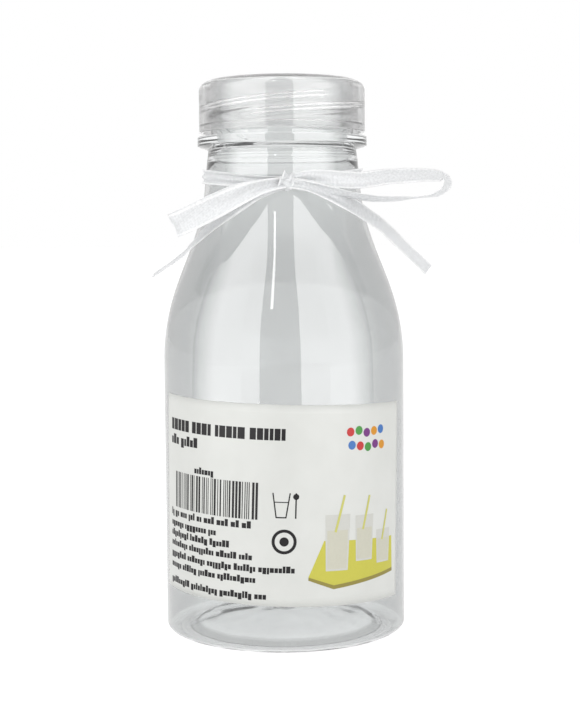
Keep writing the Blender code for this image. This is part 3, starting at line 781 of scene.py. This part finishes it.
# The sizes within a line are shares of how tall its blocks are.
WORD_LENGTHS = (0.4, 1.0)
BLOCK_PITCH = 0.55
BLOCK_WIDTHS = (0.32, 0.66)
BLOCK_SPANS = ((0.0, 0.7), (0.0, 0.7), (0.0, 1.0), (-0.25, 0.7))
CAPITAL_SPAN = (0.0, 1.0)
BLOCK_GAP = 0.09
WORD_GAP = 0.35
STRIPES_LEFT = -31.8
STRIPES_RIGHT = -5.2
STRIPES_BOTTOM = -3.6
STRIPES_TALL = 9.2
STRIPE_WIDTHS = (0.24, 0.24, 0.42, 0.6)
STRIPE_GAPS = (0.28, 0.28, 0.46, 0.64)
TUMBLER = ((-1.0, 3.2), (-0.1, -2.8), (2.3, -2.8), (3.2, 3.2))
TUMBLER_LINE = 0.32
TUMBLER_LEVEL = ((-0.7, 1.0), (2.9, 1.0))
TUMBLER_LEVEL_LINE = 0.24
STIRRER = ((4.7, 3.2), (4.7, -2.9))
STIRRER_LINE = 0.36
STIRRER_KNOB = (4.7, 2.4, 0.75)
RING_MARK_CENTRE = (2.0, -8.8)
RING_MARK_RADIUS = 2.7
RING_MARK_LINE = 0.75
RING_MARK_DOT = 1.15
RING_MARK_CORNERS = 32
DOT_COLOURS = (
    ("print_red", (0.50, 0.04, 0.04)),
    ("print_orange", (0.62, 0.27, 0.03)),
    ("print_green", (0.07, 0.28, 0.06)),
    ("print_blue", (0.06, 0.17, 0.45)),
    ("print_purple", (0.17, 0.04, 0.20)),
)
DOT_ROWS = (18.2, 14.6)
DOT_COLUMNS = 5
DOTS_LEFT = 18.6
DOT_PITCH = 2.55
DOT_ROW_SHIFT = 0.5
DOT_WAVE = 0.35
DOT_RADIUS = 1.12
BOARD_YELLOW = (0.53, 0.50, 0.08)
BOARD_EDGE_BROWN = (0.27, 0.23, 0.06)
DRINK_CREAM = (0.55, 0.54, 0.45)
GLASS_GREY = (0.565, 0.565, 0.53)
STRAW_YELLOW = (0.54, 0.53, 0.15)
BOARD = ((8.2, -17.6), (14.8, -19.8), (35.0, -17.4), (34.6, -9.2), (12.0, -8.6))
BOARD_EDGE = ((8.2, -17.6), (14.8, -19.8), (35.0, -17.4), (35.0, -18.3), (14.8, -20.8), (8.2, -18.4))

# Each glass in the picture: its middle, the height of its foot, half its width and how tall it is.
GLASSES = ((15.6, -16.2, 3.0, 14.0), (23.6, -14.2, 2.6, 11.5), (30.6, -15.4, 2.5, 8.5))
GLASS_MOUTH = 1.15
DRINK_FOOT = 0.5
DRINK_FOOT_WIDTH = 0.86
DRINK_TOP_WIDTH = 0.95
DRINK_LEVEL = 0.72
STRAW_FROM = (-0.2, 0.7)
STRAW_TO = 0.55
STRAW_ABOVE_GLASS = 4.6
STRAW_WIDTH = 0.62
label_radius = BODY_RADIUS + LABEL_OFF_WALL
random.seed(11)


def on_label(along, up, above):
    """The place on the wrapped label of a point given in metres from the label's middle."""
    across = along * math.cos(LABEL_TILT) + up * math.sin(LABEL_TILT)
    height = LABEL_CENTRE_HEIGHT - along * math.sin(LABEL_TILT) + up * math.cos(LABEL_TILT)
    turn = LABEL_TURN + across / label_radius
    radius = label_radius + above
    return Vector((radius * math.sin(turn), -radius * math.cos(turn), height))


def coated_paper():
    """Coated off-white paper: fibres too fine to see singly, faint clouds in the sheet and a low gloss."""
    made, tree, shader = finish_of("coated_paper", 0.42, 1.45)
    shader.inputs["Specular IOR Level"].default_value = PAPER_GLOSS
    place = put(tree, "ShaderNodeTexCoord").outputs["Object"]
    clouds = put(tree, "ShaderNodeTexNoise", Vector=place, Scale=140.0, Detail=4.0).outputs["Fac"]
    tree.links.new(ramp(tree, clouds, PAPER_SHADES), shader.inputs["Base Color"])
    fibres = put(tree, "ShaderNodeTexNoise", Vector=place, Scale=2600.0, Detail=3.0).outputs["Fac"]
    tree.links.new(ramp(tree, fibres, ((0.3, 0.36), (0.7, 0.5))), shader.inputs["Roughness"])
    relief = put(tree, "ShaderNodeBump", Strength=0.25, Distance=0.02 * MM, Height=fibres)
    tree.links.new(relief.outputs["Normal"], shader.inputs["Normal"])
    return made


def make_label():
    """The sheet of the label, closed round its cut edges."""
    mesh = bmesh.new()
    columns = math.ceil(LABEL_WIDTH / LABEL_STEP)
    rows = math.ceil(LABEL_HEIGHT / LABEL_STEP / 2)
    grid = []
    for i in range(columns + 1):
        along = LABEL_WIDTH * (i / columns - 0.5)
        heights = [LABEL_HEIGHT * (k / rows - 0.5) for k in range(rows + 1)]
        grid.append([mesh.verts.new(on_label(along, up, 0.0)) for up in heights])
    for left, right in zip(grid, grid[1:]):
        for k in range(rows):
            mesh.faces.new((left[k], right[k], right[k + 1], left[k + 1]))
    mesh.normal_update()
    bmesh.ops.solidify(mesh, geom=mesh.faces[:], thickness=-LABEL_THICKNESS)
    bmesh.ops.recalc_face_normals(mesh, faces=mesh.faces)
    return shown("paper_label", mesh)


def ink(name, colour):
    """Flat printing ink with the slight unevenness of a press."""
    made, tree, shader = finish_of(name, INK_ROUGHNESS)
    shader.inputs["Specular IOR Level"].default_value = INK_GLOSS
    place = put(tree, "ShaderNodeTexCoord").outputs["Object"]
    grain = put(tree, "ShaderNodeTexNoise", Vector=place, Scale=1500.0, Detail=2.0).outputs["Fac"]
    darker = tuple(c * INK_DARKER for c in colour)
    tree.links.new(ramp(tree, grain, ((0.3, darker), (0.7, colour))), shader.inputs["Base Color"])
    return made


class PrintLayer:
    """The shapes printed in one colour: flat patches that follow the label's curve."""

    def __init__(self, name, colour, above=1):
        self.name, self.colour, self.above = name, colour, above
        self.mesh = bmesh.new()

    def patch(self, points):
        """A filled outline in millimetres from the label's middle, cut into strips that bend with it."""
        lowest, highest = min(p[0] for p in points), max(p[0] for p in points)
        flat = bmesh.new()
        flat.faces.new([flat.verts.new((a, b, 0.0)) for a, b in points])
        cuts = int((highest - lowest) / (LABEL_STEP / MM))
        for i in range(1, cuts + 1):
            where = lowest + (highest - lowest) * i / (cuts + 1)
            parts = flat.verts[:] + flat.edges[:] + flat.faces[:]
            bmesh.ops.bisect_plane(flat, geom=parts, plane_co=(where, 0, 0), plane_no=(1, 0, 0))
        lift = LABEL_THICKNESS + PRINT_HEIGHT * self.above
        placed = {v: self.mesh.verts.new(on_label(v.co.x * MM, v.co.y * MM, lift)) for v in flat.verts}
        for face in flat.faces:
            self.mesh.faces.new([placed[v] for v in face.verts])
        flat.free()

    def bar(self, left, bottom, width, height):
        """A filled rectangle."""
        right, top = left + width, bottom + height
        self.patch([(left, bottom), (right, bottom), (right, top), (left, top)])

    def disc(self, along, up, radius):
        """A filled round."""
        turns = [math.tau * i / DISC_CORNERS for i in range(DISC_CORNERS)]
        self.patch([(along + radius * math.cos(a), up + radius * math.sin(a)) for a in turns])

    def band(self, points, width):
        """A drawn line of that width through points, whose stretches overlap a little at each point."""
        for (x0, y0), (x1, y1) in zip(points, points[1:]):
            along = Vector((x1 - x0, y1 - y0)).normalized() * width / 2
            side = Vector((-along.y, along.x))
            a, b = Vector((x0, y0)) - along * LINE_OVERLAP, Vector((x1, y1)) + along * LINE_OVERLAP
            self.patch([tuple(a - side), tuple(b - side), tuple(b + side), tuple(a + side)])

    def line(self, left, base, right, tall, longest, capitals):
        """A line of print without letters: words of small upright blocks, some taller or hung lower."""
        at = left
        while at < right - tall:
            end = min(at + random.uniform(*WORD_LENGTHS) * longest * tall * BLOCK_PITCH, right)
            while at < end:
                width = random.uniform(*BLOCK_WIDTHS) * tall
                bottom, top = CAPITAL_SPAN if capitals else random.choice(BLOCK_SPANS)
                self.bar(at, base + bottom * tall, width, (top - bottom) * tall)
                at += width + BLOCK_GAP * tall
            at += WORD_GAP * tall

    def finish(self):
        """Makes the layer a piece of its own, lying on the label."""
        bmesh.ops.recalc_face_normals(self.mesh, faces=self.mesh.faces)
        piece = shown(self.name, self.mesh, smooth=False)
        piece.data.materials.append(ink(self.name + "_ink", self.colour))


def print_dark():
    """The lines of blocks, the stripes among them, the tumbler with its stirrer and the ring with its dot."""
    layer = PrintLayer("print_dark", DARK_INK)
    for row in LINES_ABOVE_STRIPES:
        layer.line(*row)
    at = STRIPES_LEFT
    while at < STRIPES_RIGHT:
        width = random.choice(STRIPE_WIDTHS)
        layer.bar(at, STRIPES_BOTTOM, width, STRIPES_TALL)
        at += width + random.choice(STRIPE_GAPS)
    for row in LINES_BELOW_STRIPES:
        layer.line(*row)
    layer.band(TUMBLER, TUMBLER_LINE)
    layer.band(TUMBLER_LEVEL, TUMBLER_LEVEL_LINE)
    layer.band(STIRRER, STIRRER_LINE)
    layer.disc(*STIRRER_KNOB)
    along, up = RING_MARK_CENTRE
    turns = [math.tau * (i % RING_MARK_CORNERS) / RING_MARK_CORNERS for i in range(RING_MARK_CORNERS + 1)]
    ring = [(along + RING_MARK_RADIUS * math.cos(a), up + RING_MARK_RADIUS * math.sin(a)) for a in turns]
    layer.band(ring, RING_MARK_LINE)
    layer.disc(along, up, RING_MARK_DOT)
    layer.finish()


def print_dots():
    """Two rows of coloured dots, a layer for each colour."""
    layers = [PrintLayer(name, colour) for name, colour in DOT_COLOURS]
    for row, base in enumerate(DOT_ROWS):
        for column in range(DOT_COLUMNS):
            along = DOTS_LEFT + column * DOT_PITCH + row * DOT_ROW_SHIFT
            up = base + DOT_WAVE * math.sin(column * 2.1 + row)
            layers[(column * 2 + row * 3) % len(layers)].disc(along, up, DOT_RADIUS)
    for layer in layers:
        layer.finish()


def print_picture():
    """The picture: a board, and on it three glasses of a pale drink, each with a straw."""
    board = PrintLayer("print_board", BOARD_YELLOW)
    board.patch(BOARD)
    board.finish()
    edge = PrintLayer("print_board_edge", BOARD_EDGE_BROWN, 2)
    edge.patch(BOARD_EDGE)
    edge.finish()
    drink = PrintLayer("print_cream", DRINK_CREAM, 3)
    glass = PrintLayer("print_glass", GLASS_GREY, 2)
    straw = PrintLayer("print_straw", STRAW_YELLOW, 4)
    for along, base, half, tall in GLASSES:
        glass.patch([
            (along - half, base),
            (along + half, base),
            (along + half * GLASS_MOUTH, base + tall),
            (along - half * GLASS_MOUTH, base + tall),
        ])
        drink.patch([
            (along - half * DRINK_FOOT_WIDTH, base + DRINK_FOOT),
            (along + half * DRINK_FOOT_WIDTH, base + DRINK_FOOT),
            (along + half * DRINK_TOP_WIDTH, base + tall * DRINK_LEVEL),
            (along - half * DRINK_TOP_WIDTH, base + tall * DRINK_LEVEL),
        ])
        foot = (along + half * STRAW_FROM[0], base + tall * STRAW_FROM[1])
        straw.band([foot, (along + half * STRAW_TO, base + tall + STRAW_ABOVE_GLASS)], STRAW_WIDTH)
    for layer in (glass, drink, straw):
        layer.finish()


label = make_label()
label.data.materials.append(coated_paper())
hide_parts("label")
print_dark()
print_dots()
print_picture()

# Floor, light and camera
# The bottle stands on a plain pale floor in soft white studio light. The panels of light are only seen
# mirrored in the plastic: two wide sheets that reach up overhead make the light bands on either side of
# the dark middle one, and a narrow slot makes the bright streak in it.
FLOOR_RADIUS = 40.0
FLOOR_WHITE = 0.25
FLOOR_GLOW = 0.81
WHITE_GLOW = (1.0, 1.0, 1.0, 1.0)
PANEL_GLOW = 5.0
PANEL_STEPS = 24

# The outline of a sheet of light from its foot up: how far off the bottle's axis, and how high, in metres.
SIDE_SHEET = ((0.3, 0.001), (1.4, 0.001), (1.4, 1.9), (0.3, 2.6))
SLOT_SHEET = ((1.4, 0.8), (1.4, 1.6))

# Each panel: the directions of its inner and outer edges and how wide its outer edge fades out, all in
# degrees to the right of the front, then its strength and its outline.
PANELS = (
    (-22, -95, 28, 1, SIDE_SHEET),
    (16, 92, 28, 1, SIDE_SHEET),
    (-10.2, -13.2, 0, 2, SLOT_SHEET),
)
LAMP_PLACE = (-0.3, -1.0, 0.9)
LAMP_AIM = (0.0, 0.0, 0.07)
LAMP_SIZE = 1.0
LAMP_POWER = 2.5
CAMERA_PLACE = (1.59 * MM, -402.0 * MM, 101.6 * MM)
CAMERA_DIP = 0.078
CAMERA_ROLL = -0.008
CAMERA_SENSOR = 36.0
CAMERA_LENS = 75.87


def plain(name, grey, strength):
    """A stage surface: matt, with a glow of that strength."""
    made, _, shader = finish_of(name, 0.9)
    shader.inputs["Base Color"].default_value = (grey, grey, grey, 1.0)
    shader.inputs["Emission Color"].default_value = WHITE_GLOW
    shader.inputs["Emission Strength"].default_value = strength
    return made


def stage_piece(name, made_bmesh, look):
    """An object of the studio, which isn't part of the bottle."""
    mesh = bpy.data.meshes.new(name)
    made_bmesh.to_mesh(mesh)
    made_bmesh.free()
    mesh.materials.append(look)
    piece = bpy.data.objects.new(name, mesh)
    bpy.context.scene.collection.objects.link(piece)
    return piece


def make_floor():
    """A wide round floor at the height that the bottle stands on."""
    mesh = bmesh.new()
    bmesh.ops.create_circle(mesh, cap_ends=True, segments=64, radius=FLOOR_RADIUS)
    stage_piece("floor", mesh, plain("pale_floor", FLOOR_WHITE, FLOOR_GLOW))


def soft_panel(name, inner, outer, fade, strength, sheet):
    """A curved sheet of light between two directions in degrees, which fades out towards the outer one."""
    mesh = bmesh.new()
    shine = mesh.loops.layers.float_color.new("shine")
    columns = []
    for i in range(PANEL_STEPS + 1):
        turn = inner + (outer - inner) * i / PANEL_STEPS
        outward = Vector((math.sin(math.radians(turn)), -math.cos(math.radians(turn)), 0.0))
        column = [mesh.verts.new(outward * reach + Vector((0.0, 0.0, height))) for reach, height in sheet]
        columns.append((column, strength * min(1.0, abs(outer - turn) / fade) if fade else strength))
    for (left, left_shine), (right, right_shine) in zip(columns, columns[1:]):
        for k in range(len(sheet) - 1):
            face = mesh.faces.new((left[k], left[k + 1], right[k + 1], right[k]))
            for loop, bright in zip(face.loops, (left_shine, left_shine, right_shine, right_shine)):
                loop[shine] = (bright, bright, bright, 1.0)
    look = plain(name + "_glow", 0.0, PANEL_GLOW)
    tree = look.node_tree
    glow = put(tree, "ShaderNodeVertexColor", {"layer_name": "shine"}).outputs["Color"]
    tree.links.new(glow, tree.nodes["Principled BSDF"].inputs["Emission Color"])
    panel = stage_piece(name, mesh, look)
    panel.visible_camera = panel.visible_diffuse = panel.visible_transmission = panel.visible_shadow = False


def front_lamp():
    """A large soft lamp that looks at the middle of the bottle and isn't mirrored in it."""
    data = bpy.data.lights.new("lamp_front", "AREA")
    data.size = LAMP_SIZE
    data.energy = LAMP_POWER
    light = bpy.data.objects.new("lamp_front", data)
    light.location = LAMP_PLACE
    light.rotation_euler = (Vector(LAMP_AIM) - Vector(LAMP_PLACE)).to_track_quat("-Z", "Y").to_euler()
    light.visible_glossy = light.visible_transmission = light.visible_camera = False
    bpy.context.scene.collection.objects.link(light)


def light_room():
    """White surroundings that light the bottle softly from all sides."""
    world = bpy.data.worlds.new("pale_room")
    bpy.context.scene.world = world
    world.use_nodes = True
    background = world.node_tree.nodes["Background"]
    background.inputs["Color"].default_value = WHITE_GLOW
    background.inputs["Strength"].default_value = 1.0


def place_camera():
    """The camera where the picture was taken from, looking a little down and rolled a little."""
    data = bpy.data.cameras.new("camera")
    data.sensor_width = CAMERA_SENSOR
    data.lens = CAMERA_LENS
    camera = bpy.data.objects.new("camera", data)
    bpy.context.scene.collection.objects.link(camera)
    camera.location = CAMERA_PLACE
    looking = Euler((math.radians(90) - CAMERA_DIP, 0.0, 0.0)).to_matrix()
    camera.rotation_euler = (looking @ Matrix.Rotation(CAMERA_ROLL, 3, "Z")).to_euler()
    bpy.context.scene.camera = camera


make_floor()
for side, panel_place in enumerate(PANELS):
    soft_panel(f"soft_panel_{side}", *panel_place)
front_lamp()
light_room()
place_camera()
bpy.context.scene.view_settings.view_transform = "Standard"
